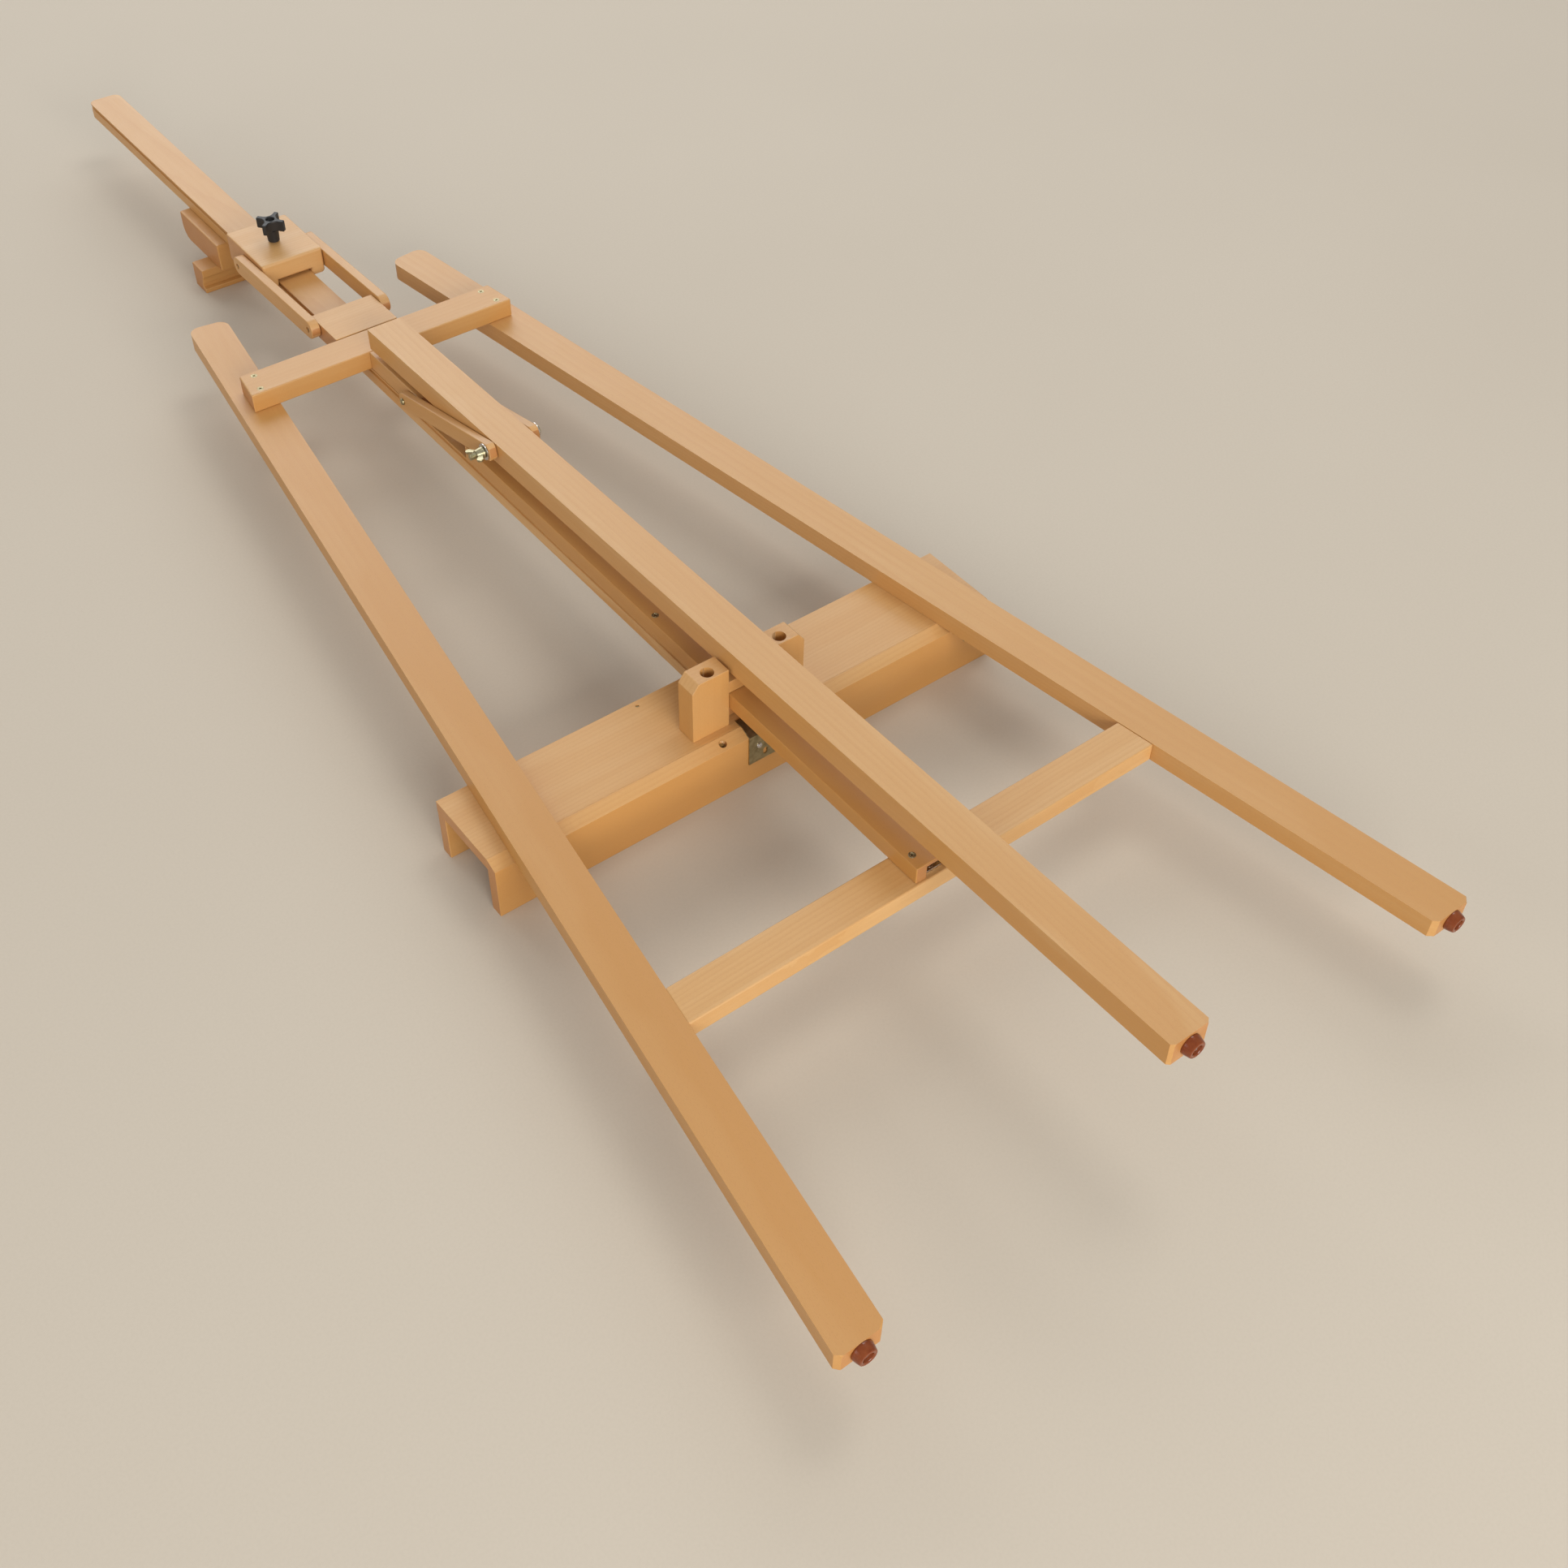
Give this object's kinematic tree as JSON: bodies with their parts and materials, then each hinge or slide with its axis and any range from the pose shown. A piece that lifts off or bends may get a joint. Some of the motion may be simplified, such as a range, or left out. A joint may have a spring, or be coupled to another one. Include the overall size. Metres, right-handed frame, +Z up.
{
  "type": "folding studio easel",
  "caption": "Folded wooden studio easel with splayed front legs, a hinged rear leg on link strips, a sliding mast with upper clamp, a tilting arm clamp and a sliding tray.",
  "frame": {"origin": "centre of the bounding box on the floor that the folded easel lies on, face down", "axes": "+Z up and away from the painter's side, +Y along the mast towards its head, X across the front legs"},
  "size_m": [0.6218, 1.81, 0.1487],
  "materials": {
    "beech": "oiled satin beech with fine short pores",
    "beech_dark": "oiled satin beech, warmer boards",
    "foot_plastic": "reddish brown translucent moulded plastic",
    "black_plastic": "matt black moulded knob",
    "zinc": "yellow zinc plated",
    "steel": "bright zinc plated"
  },
  "bodies": {
    "frame": {"leg_left": "beech", "leg_right": "beech", "lower_rung": "beech", "rung_dowels": "beech_dark", "upper_crossbar": "beech", "crossbar_screws": "steel", "spine_dowels": "beech_dark", "tongue_block": "beech", "hinge_plate": "beech", "foot_left": "foot_plastic", "foot_right": "foot_plastic", "foot_nails": "steel", "link_screws": "steel", "arm_screws": "steel", "rung_hinge": "steel", "hinge_pin": "steel", "hinge_screws": "steel"},
    "links": {"link_left": "beech", "link_right": "beech", "pivot_bolt": "zinc", "bolt_washers": "steel"},
    "wing": {"wing_nut": "zinc"},
    "rear": {"rear_leg": "beech", "rear_foot": "foot_plastic", "rear_foot_nail": "steel"},
    "guide": {"guide_channel": "beech_dark", "guide_screws": "zinc"},
    "mast": {"mast_plank": "beech", "mast_runner": "beech_dark", "runner_screws": "steel"},
    "arms": {"arm_left": "beech", "arm_right": "beech"},
    "clamp": {"clamp_block": "beech", "block_screws": "steel", "pressure_pad": "steel"},
    "knob": {"star_knob": "black_plastic", "clamp_bolt": "steel"},
    "holder": {"holder_carriage": "beech_dark", "holder_key": "beech", "holder_lip_bar": "beech_dark", "holder_screws": "steel"},
    "tray": {"tray_rear_board": "beech", "tray_lower_board": "beech_dark", "tray_upper_board": "beech_dark", "tray_spacers": "beech", "tray_ear_left": "beech", "tray_ear_right": "beech", "tray_bridge": "beech", "ear_screws": "steel", "tray_screws": "steel", "guide_bracket": "steel", "bracket_screws": "steel"}
  },
  "joints": [
    {"name": "link_swing", "type": "hinge", "parent": "frame", "child": "links", "pos_m": [0, 0.133, 0.087], "axis": [-1, 0, 0], "range_deg": [0, 58]},
    {"name": "rear_leg_fold", "type": "hinge", "parent": "links", "child": "rear", "pos_m": [0, -0.025, 0.12168], "axis": [-1, 0, 0], "range_deg": [-26, 0]},
    {"name": "wing_nut_turn", "type": "hinge", "parent": "links", "child": "wing", "pos_m": [-0.03, -0.025, 0.12168], "axis": [1, 0, 0], "continuous": true},
    {"name": "arm_swing", "type": "hinge", "parent": "frame", "child": "arms", "pos_m": [0, 0.294, 0.0903], "axis": [-1, 0, 0], "range_deg": [0, 30]},
    {"name": "clamp_turn", "type": "hinge", "parent": "arms", "child": "clamp", "pos_m": [0, 0.453, 0.0849], "axis": [-1, 0, 0], "range_deg": [-26, 0]},
    {"name": "mast_tilt", "type": "hinge", "parent": "frame", "child": "guide", "pos_m": [0, -0.5975, 0.0845], "axis": [-1, 0, 0], "range_deg": [0, 4.5]},
    {"name": "mast_slide", "type": "slide", "parent": "guide", "child": "mast", "axis": [0, 1, 0], "range_m": [0, 0.25]},
    {"name": "tray_slide", "type": "slide", "parent": "guide", "child": "tray", "axis": [0, 1, 0], "range_m": [-0.17, 0.29]},
    {"name": "holder_slide", "type": "slide", "parent": "mast", "child": "holder", "axis": [0, 1, 0], "range_m": [-0.03, 0.24]},
    {"name": "knob_turn", "type": "hinge", "parent": "clamp", "child": "knob", "pos_m": [0, 0.452, 0.117], "axis": [0, 0, 1], "continuous": true}
  ],
  "couplings": [
    {"joint": "rear_leg_fold", "follows": "link_swing", "ratio": -0.44},
    {"joint": "mast_tilt", "follows": "arm_swing", "ratio": 0.149},
    {"joint": "clamp_turn", "follows": "arm_swing", "ratio": -0.851}
  ]
}
